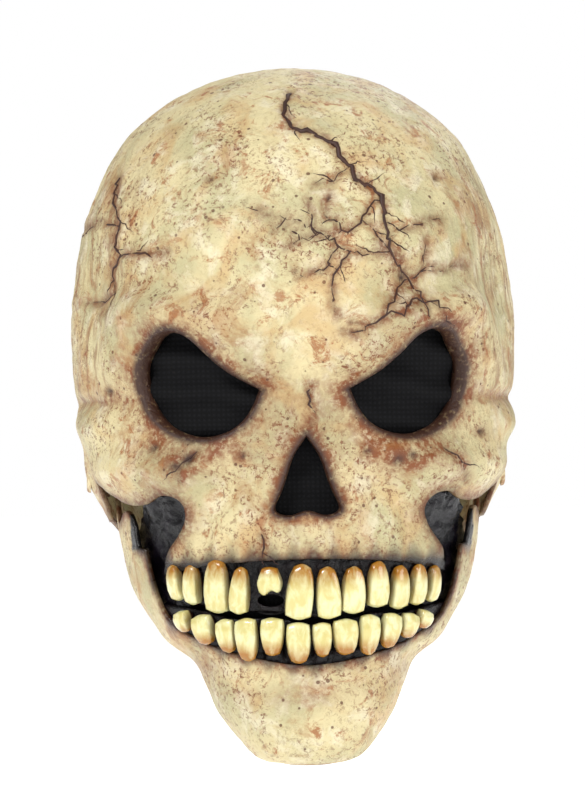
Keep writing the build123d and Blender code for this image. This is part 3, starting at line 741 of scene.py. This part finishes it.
def roughLine(points, step=2.3, jitter=0.75):
    corners = np.array(points, float)
    share = np.linspace(0, len(points) - 1, 8 * (len(points) - 1) + 1)
    plain = np.array([np.interp(share, np.arange(len(points)), corners[:, k]) for k in (0, 1)]).T
    line = 0.6 * smoothLine(points, 8) + 0.4 * plain
    far = np.concatenate([[0], np.cumsum(np.linalg.norm(np.diff(line, axis=0), axis=1))])
    count = max(int(far[-1] / step), 3)
    even = np.column_stack([np.interp(np.linspace(0, far[-1], count), far, line[:, k]) for k in (0, 1)])
    even[1:-1] += random.normal(0, jitter, (count - 2, 2))
    return even


crackCurve = bpy.data.curves.new("crackLines", "CURVE")
crackCurve.dimensions = "3D"
crackCurve.bevel_depth = 0.001
crackCurve.bevel_resolution = 1
crackCurve.use_fill_caps = True


def addCrack(path, widest):
    where = skinSpots(path)
    spline = crackCurve.splines.new("POLY")
    spline.points.add(len(where) - 1)
    for k, (point, spot) in enumerate(zip(spline.points, where)):
        share = k / (len(where) - 1)
        point.co = (*(spot / 1000), 1)
        swell = 0.35 + 0.65 * np.sin(pi * min(share + 0.18, 1)) ** 0.7
        point.radius = widest * swell * random.uniform(0.7, 1.25)
        if k == len(where) - 1:
            point.radius = 0.12


for number, line in enumerate(crackLines):
    path = roughLine(line)
    wide = (1.3, 0.8)[number] if number < 2 else 0.5
    addCrack(path, wide)
    for k in range(3, len(path) - 2, 6 if number < 2 else 11):
        heading = path[k + 1] - path[k - 1]
        heading = heading / np.linalg.norm(heading)
        side = random.choice([-1, 1]) * random.uniform(0.7, 1.3)
        twig = [path[k]]
        for _ in range(random.integers(3, 7)):
            turned = heading + side * np.array([-heading[1], heading[0]]) + random.normal(0, 0.45, 2)
            twig.append(twig[-1] + turned / np.linalg.norm(turned) * random.uniform(1.2, 2.2))
        addCrack(np.array(twig), 0.34)
holder = bpy.data.objects.new("crackHolder", crackCurve)
bpy.context.scene.collection.objects.link(holder)
bpy.context.view_layer.update()
crackMesh = bpy.data.meshes.new_from_object(holder.evaluated_get(bpy.context.evaluated_depsgraph_get()))
bpy.data.objects.remove(holder)
crackPiece = bpy.data.objects.new("crackLines", crackMesh)
bpy.context.scene.collection.objects.link(crackPiece)
setMaterial(crackPiece, ink)
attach(crackPiece, "skull")
print("cracks made", len(crackMesh.polygons))

# gums
biteLine = [(-67, 72), (-48, 69.8), (-36, 66.8), (-24, 67), (-12, 66.6), (-4, 64.4), (10, 64.6), (20, 66.6),
            (32, 68.6), (44, 67.8), (67, 71)]
toothLook = {  # name: x, root height, edge height, width, lean in degrees
    "upper_right_third_molar": (-57, 90, 74, 8.0, -4), "upper_right_second_molar": (-50, 90, 72.2, 8.2, 5),
    "upper_right_first_molar": (-39.5, 92, 68.4, 11.4, 3), "upper_right_premolar": (-29.8, 88.5, 68, 8.6, 6),
    "upper_right_broken_incisor": (-17, 88.5, 77.2, 10.6, 0),
    "upper_right_central_incisor": (-3.8, 89.3, 65.5, 12.2, 6),
    "upper_left_central_incisor": (8.4, 88, 65.6, 10.6, -2),
    "upper_left_lateral_incisor": (19.4, 88, 67.6, 10.4, 2), "upper_left_canine": (30.2, 90, 70, 9.8, 0),
    "upper_left_premolar": (40, 88, 69, 8.8, 0), "upper_left_first_molar": (48.4, 88.5, 70.4, 8.4, 1),
    "upper_left_second_molar": (55.6, 87.5, 71.4, 7.4, 3), "lower_right_third_molar": (-54, 60, 69.6, 8.0, -8),
    "lower_right_second_molar": (-45.3, 54.5, 67.8, 10.4, -8),
    "lower_right_first_molar": (-35.6, 50.8, 65.6, 8.6, -8), "lower_right_premolar": (-27, 47.2, 65.8, 10.0, -3),
    "lower_right_lateral_incisor": (-16.2, 49.3, 65.8, 10.2, 0),
    "lower_right_central_incisor": (-4.9, 45.8, 63.4, 10.8, 0),
    "lower_left_central_incisor": (5.4, 48.4, 63.2, 8.4, 0),
    "lower_left_lateral_incisor": (15.6, 49.2, 64.6, 11.2, 0), "lower_left_canine": (26, 48.9, 66.4, 9.2, 4),
    "lower_left_premolar": (35.4, 51.6, 67, 9.2, 9), "lower_left_first_molar": (43.8, 55.8, 66.8, 8.8, 10),
    "lower_left_second_molar": (51, 59.8, 68, 8.0, 14),
}


def gumPush(flat, upper):
    x, height = flat[:, 0], flat[:, 2] + seatHeight
    push = np.full(len(x), -0.4)
    for name, (tx, root, edge, width, lean) in toothLook.items():
        if name.startswith("upper") == upper:
            near = fade(x - tx, 0.42 * width)
            push += near * (1.3 * fade(height - root, 3.5) + 0.3)
            push -= 0.5 * fade(np.abs(x - tx) - 0.56 * width, 1.2)
    return push + 0.35 * noiseField(flat, 4, 2.0 if upper else 5.0)


def placeGum(table, inset, upper):
    def place(rounds, runs):
        flat = pointOn(table, rounds, runs)
        normal = normalOn(table, rounds, runs)
        return flat + normal * (gumPush(flat, upper) - inset)[:, None], normal
    return place


def shifted(points, up):
    return [(x, height + up) for x, height in points]


def makeGum(name, table, low, high, upper, holes=(), lips=None):
    outline = np.vstack([fromFront(table, low), fromFront(table, high)[::-1]])
    rounds = np.arange(outline[:, 0].min() - 1, outline[:, 0].max() + 1, 1.3)
    runs = np.arange(outline[:, 1].min() - 1, outline[:, 1].max() + 1, 1.2)
    gum = makeSkin(name, rounds, runs, placeGum(table, 1.9, upper), outline, holes, lips)
    thicken(gum, wallLook["gum"])
    setMaterial(gum, gumLatex)
    return gum


turnRound = np.linspace(0, 2 * pi, 24, endpoint=False)
ring = np.column_stack([-17.5 + 6.2 * np.cos(turnRound), 73.4 + 2.9 * np.sin(turnRound)])
breathHole = fromFront(skullTable, ring, 1)
upperGum = makeGum("upperGumSkin", skullTable, shifted(biteLine, 1.5), shifted(gumLine, 4), True, [breathHole],
                   {1: ([(0.3, 0.8), (0.0, 1.5)], (-17.5, -104, -218.6))})
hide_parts("upper_gum")
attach(upperGum, "skull")
lowerLine = [(-65, 60), (-40, 47.5), (0, 41), (40, 47.5), (65, 60)]
lowerGum = makeGum("lowerGumSkin", jawTable, lowerLine, shifted(biteLine, -1.5), False)
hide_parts("lower_gum")
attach(lowerGum, "jaw")
print("gums made")


# teeth: a cube rounded into a long tooth, narrow at the root
def makeTooth(name, x, root, edge, width, lean):
    upper = name.startswith("upper")
    table = skullTable if upper else jawTable
    bm = bmesh.new()
    bmesh.ops.create_cube(bm, size=2)
    bmesh.ops.subdivide_edges(bm, edges=bm.edges, cuts=9, use_grid_fill=True)
    middle = (root + edge) / 2
    chart = fromFront(table, [(x - 1, middle), (x, middle), (x + 1, middle), (x, middle - 5), (x, middle + 5)], 1)
    spots = pointOn(table, chart[:, 0], chart[:, 1])
    across = Vector(spots[2] - spots[0]).normalized()
    up = Vector(spots[4] - spots[3]).normalized()
    up = (up - across * up.dot(across)).normalized()
    out = across.cross(up)
    tilt = radians(-lean)
    across, up = across * np.cos(tilt) + up * np.sin(tilt), up * np.cos(tilt) - across * np.sin(tilt)
    tall = abs(root - edge) / 2 * (1 if upper else -1)
    centre = Vector(spots[1])
    rootLayer, toothShadeLayer = (bm.verts.layers.float.new(label) for label in ("root", "side"))
    seed = x * 0.37
    for v in bm.verts:
        a, b, c = v.co
        ball = v.co.normalized()
        soft = v.co * 0.6 + ball * 0.4 * 1.1
        share = (c + 1) / 2  # 0 at the biting edge, 1 at the root
        narrow = np.interp(share, [0, 0.15, 0.45, 0.8, 1], [0.96, 1.0, 0.98, 0.84, 0.64])
        if name == "upper_right_broken_incisor":
            narrow = np.interp(share, [0, 0.4, 1], [0.96, 1.0, 0.7])
        deep = np.interp(share, [0, 0.3, 0.7, 1], [0.72, 1.0, 0.9, 0.6])
        wob = noise.noise(Vector((a * 0.9 + seed, b, c * 0.7)))
        px = soft.x * width * 0.53 * narrow * (1 + 0.07 * wob)
        pz = soft.z * tall * (1 + 0.03 * wob)
        if name == "upper_right_broken_incisor" and share < 0.5:
            pz += (0.9 * np.sin(a * 5 + 1) + 0.8 * a) * (0.5 - share) * 2
        py = soft.y * 3.4 * deep - 1.6 + 0.5 * (soft.x ** 2)
        v[rootLayer] = float(np.clip((share - 0.55) / 0.4, 0, 1))
        # painted shade: the flanks and the back of each tooth are marked for dark brown
        flankShade = np.clip((abs(soft.x) - 0.86) / 0.2, 0, 1) * 0.8
        v[toothShadeLayer] = float(flankShade + np.clip(soft.y * 2 - 0.4, 0, 1))
        v.co = centre + across * px + up * pz - out * py
    bmesh.ops.recalc_face_normals(bm, faces=bm.faces)
    bmesh.ops.scale(bm, verts=bm.verts, vec=(0.001, 0.001, 0.001))
    piece = finishMesh(bm, joined(name) + "Tooth")
    setMaterial(piece, tooth)
    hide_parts(name)
    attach(piece, "skull" if upper else "jaw")


for name, values in toothLook.items():
    makeTooth(name, *values)
print("teeth made")

# cheek webs: thin crumpled latex that stretches between the cheekbone and the jaw
webLine = [(49, 126), (76, 126), (77.5, 110), (80.5, 98), (79.5, 84), (76, 73), (70, 66), (61, 63), (55, 70),
           (52, 92), (48, 112)]


def placeWeb(side):
    def place(across, up):
        share = np.clip((up - 80) / 40, 0, 1)
        share = share * share * (3 - 2 * share)
        x = np.minimum(across, 79)
        low = fromFront(jawTable, np.column_stack([x, up]), 1)
        high = fromFront(skullTable, np.column_stack([x, up]), 1)
        spot = (1 - share)[:, None] * (pointOn(jawTable, *low.T) - 3.2 * normalOn(jawTable, *low.T))
        spot += share[:, None] * (pointOn(skullTable, *high.T) - 3.4 * normalOn(skullTable, *high.T))
        crumple = 2.4 * np.abs(noiseField(spot, 9, 3.0 + side))
        crumple += 1.3 * np.abs(noiseField(spot, 4, 6.0 + side))
        normal = normalOn(jawTable, *low.T)
        spot = spot - normal * (crumple + 1.0)[:, None]
        spot[:, 0] *= side
        normal = normal * np.array([side, 1, 1])
        return spot, normal
    return place


for side, word in ((1, "left"), (-1, "right")):
    across, up = np.arange(47, 83, 0.9), np.arange(58, 128, 0.9)
    web = makeSkin(f"cheekWeb{word.title()}", across, up, placeWeb(side), np.array(webLine, float))
    if side < 0:
        turnOut(web)
    thicken(web, wallLook["web"])
    settle(web)
    setMaterial(web, webLatex)
    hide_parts(f"cheek_web_{word}")
    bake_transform(web)
print("webs made")

# black mesh cloth behind the sockets, nose and bite
plainRow = (96, -98.5, 10, 128, 2.3)  # the skull's own section at the nose, 5 mm further in
curtainTable = smoothTable([(height, *plainRow) for height in (90, 150, 215)])


def clothPiece(name, node, table, outline, inset, fold, step=1.5):
    def place(rounds, runs):
        flat = pointOn(table, rounds, runs)
        normal = normalOn(table, rounds, runs)
        wave = np.sin(2 * pi * (flat[:, 2] + 0.16 * flat[:, 0]) / 17 + 3 * noiseField(flat, 40, 1.0))
        drape = fold * (wave + 0.5 * noiseField(flat, 12, 8.0)) - inset
        return flat + normal * drape[:, None], normal
    rounds = np.arange(outline[:, 0].min() - step, outline[:, 0].max() + step, step)
    runs = np.arange(outline[:, 1].min() - step, outline[:, 1].max() + step, step)
    cloth = makeSkin(name, rounds, runs, place, outline)
    thicken(cloth, wallLook["cloth"])
    setMaterial(cloth, meshCloth)
    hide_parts(node)
    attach(cloth, "skull")


eyeCloth = [(11, 160), (11, 175), (38, 203), (80, 203), (82, 150), (62, 137), (26, 141)]
noseCloth = [(-25, 104), (-9, 153), (9, 153), (25, 104)]
eyePatch = fromFront(curtainTable, eyeCloth, 1)
clothPiece("eyeClothLeft", "eye_mesh_left", curtainTable, eyePatch, 0.6, 1.7)
clothPiece("eyeClothRight", "eye_mesh_right", curtainTable, flipLine(eyePatch), 0.6, 1.7)
clothPiece("noseCloth", "nose_mesh", curtainTable, fromFront(curtainTable, noseCloth, 1), 0.6, 0.6)
cornerLow = [(-70, 66), *shifted(biteLine, -7)[1:-1], (70, 66)]
cornerHigh = [(-69, 88), *shifted(gumLine, 2)[1:-1], (69, 88)]
mouthPatch = np.vstack([fromFront(skullTable, cornerLow), fromFront(skullTable, cornerHigh)[::-1]])
clothPiece("mouthCloth", "mouth_mesh", skullTable, mouthPatch, 8.9, 0.15)
print("cloth made")

# foam pads: the plain blocks filled out and softened
padLook = {"forehead_pad": "skull", "side_pad_left": "skull", "side_pad_right": "skull", "crown_pad": "skull",
           "chin_pad": "jaw"}
for node, body in padLook.items():
    bm = bmesh.new()
    bm.from_mesh(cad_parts[node].data)
    bmesh.ops.remove_doubles(bm, verts=bm.verts, dist=0.00002)
    block = finishMesh(bm, joined(node.replace("crown", "top")) + "Foam")
    net = block.modifiers.new("net", "REMESH")
    net.mode = "VOXEL"
    net.voxel_size = 0.0025
    soft = block.modifiers.new("soft", "SMOOTH")
    soft.iterations = 6
    soft.factor = 0.5
    settle(block)
    block.data.shade_smooth()
    setMaterial(block, foam)
    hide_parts(node)
    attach(block, body)
print("pads made")

# rear strap: sewn root, hook patch and the tab that peels
strapLook = {  # node: x from, x to, lift of the outside, thickness, body, material slot
    "closure_anchor": (-36, -14.4, 4.0, 3.8, "skull", "webbing"),
    "closure_tab": (-14, 36, 3.8, 1.4, "closure_tab", "webbing"),
    "closure_patch": (6, 33, 2.0, 1.8, "skull", "hook_strip"),
}


def placeStrap(lift):
    def place(across, up):
        half = np.interp(up, skullTable[:, 0], skullTable[:, 1])
        rounds = (pi - np.arcsin(across / half)) * chartScale
        runs = runAt(skullTable, up)
        normal = normalOn(skullTable, rounds, runs)
        ribs = 0.12 * np.cos(up * 2 * pi / 2.5) - 0.5 * (np.abs(np.abs(up - 105) - 7.6) < 0.5)
        return pointOn(skullTable, rounds, runs) + normal * (lift + ribs)[:, None], normal
    return place


for node, (start, end, lift, thick, body, slotName) in strapLook.items():
    outline = np.array([
        (start, 96), (start + 1, 95), (end - 1, 95), (end, 96),
        (end, 114), (end - 1, 115), (start + 1, 115), (start, 114),
    ], float)
    across, up = np.arange(start - 0.8, end + 0.8, 0.8), np.arange(94.4, 116, 0.6)
    strap = makeSkin(joined(node) + "Strap", across, up, placeStrap(lift), outline)
    turnOut(strap)
    thicken(strap, thick / 1000)
    setMaterial(strap, hookTape if slotName == "hook_strip" else webbing)
    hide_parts(node)
    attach(strap, body)
hingeStack = [f"{kind}_{word}" for kind in ("jaw_rivet", "jaw_spacer", "rivet_cap") for word in ("left", "right")]
for node in hingeStack:  # these keep their own plain shape
    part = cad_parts[node]
    if part.material_slots:
        part.material_slots[0].material = nylon
    else:
        part.data.materials.append(nylon)
print("straps made")

# floor, light and camera
stageLook = {"floor": "#FFFFFF", "floorDrop": 0.05, "floorGlow": 0.62, "world": "#FFFFFF", "worldPower": 1.0,
             "roomPower": 0.42}
bm = bmesh.new()
bmesh.ops.create_circle(bm, cap_ends=True, segments=64, radius=14)
bmesh.ops.translate(bm, verts=bm.verts, vec=(0, 0, cadBox[0][2] - stageLook["floorDrop"]))
floor = finishMesh(bm, "floor")
paper, *_ = startMaterial("matStudioPaper", {
    "Roughness": 0.9, "Base Color": srgb(stageLook["floor"]), "Emission Color": srgb(stageLook["floor"]),
    "Emission Strength": stageLook["floorGlow"],
})
setMaterial(floor, paper)
world = bpy.data.worlds.new("studio")
bpy.context.scene.world = world
world.use_nodes = True
world.node_tree.nodes["Background"].inputs["Color"].default_value = srgb(stageLook["world"])
sky = world.node_tree.nodes["Background"].inputs["Strength"]
seen = addNode(world.node_tree, "ShaderNodeLightPath").outputs["Is Camera Ray"]  # a white backdrop in a dimmer room
power = addNode(world.node_tree, "ShaderNodeMapRange", None, {
    "Value": seen, "To Min": stageLook["roomPower"], "To Max": stageLook["worldPower"],
})
world.node_tree.links.new(power.outputs[0], sky)


def softLight(name, spot, size, power, target=(0, 0, -0.13)):
    data = bpy.data.lights.new(name, "AREA")
    data.size = size
    data.energy = power
    light = bpy.data.objects.new(name, data)
    light.location = spot
    light.rotation_euler = (Vector(target) - Vector(spot)).to_track_quat("-Z", "Y").to_euler()
    bpy.context.scene.collection.objects.link(light)


softLight("keyLight", (-0.75, -1.2, 1.05), 0.5, 21)
softLight("fillLight", (1.4, -1.1, 0.25), 0.9, 11)
softLight("backLight", (0.5, 1.4, 1.1), 1.0, 10)
bpy.context.scene.view_settings.view_transform = "Standard"

cameraLook = {"azimuth": -2.6, "elevation": -0.7, "distance": 2.2, "target": (-0.001, 0, -0.1285), "roll": -1.0,
              "tall": 0.372}
data = bpy.data.cameras.new("camera")
data.lens = 36 * cameraLook["distance"] / cameraLook["tall"]  # the longer side of the picture takes in this much
camera = bpy.data.objects.new("camera", data)
turn, lift = radians(cameraLook["azimuth"]), radians(cameraLook["elevation"])
away = Vector((np.sin(turn) * np.cos(lift), -np.cos(turn) * np.cos(lift), np.sin(lift)))
target = Vector(cameraLook["target"])
camera.location = target + away * cameraLook["distance"]
roll = Quaternion(away, radians(cameraLook["roll"]))
camera.rotation_euler = (roll @ (-away).to_track_quat("-Z", "Y")).to_euler()
bpy.context.scene.collection.objects.link(camera)
bpy.context.scene.camera = camera
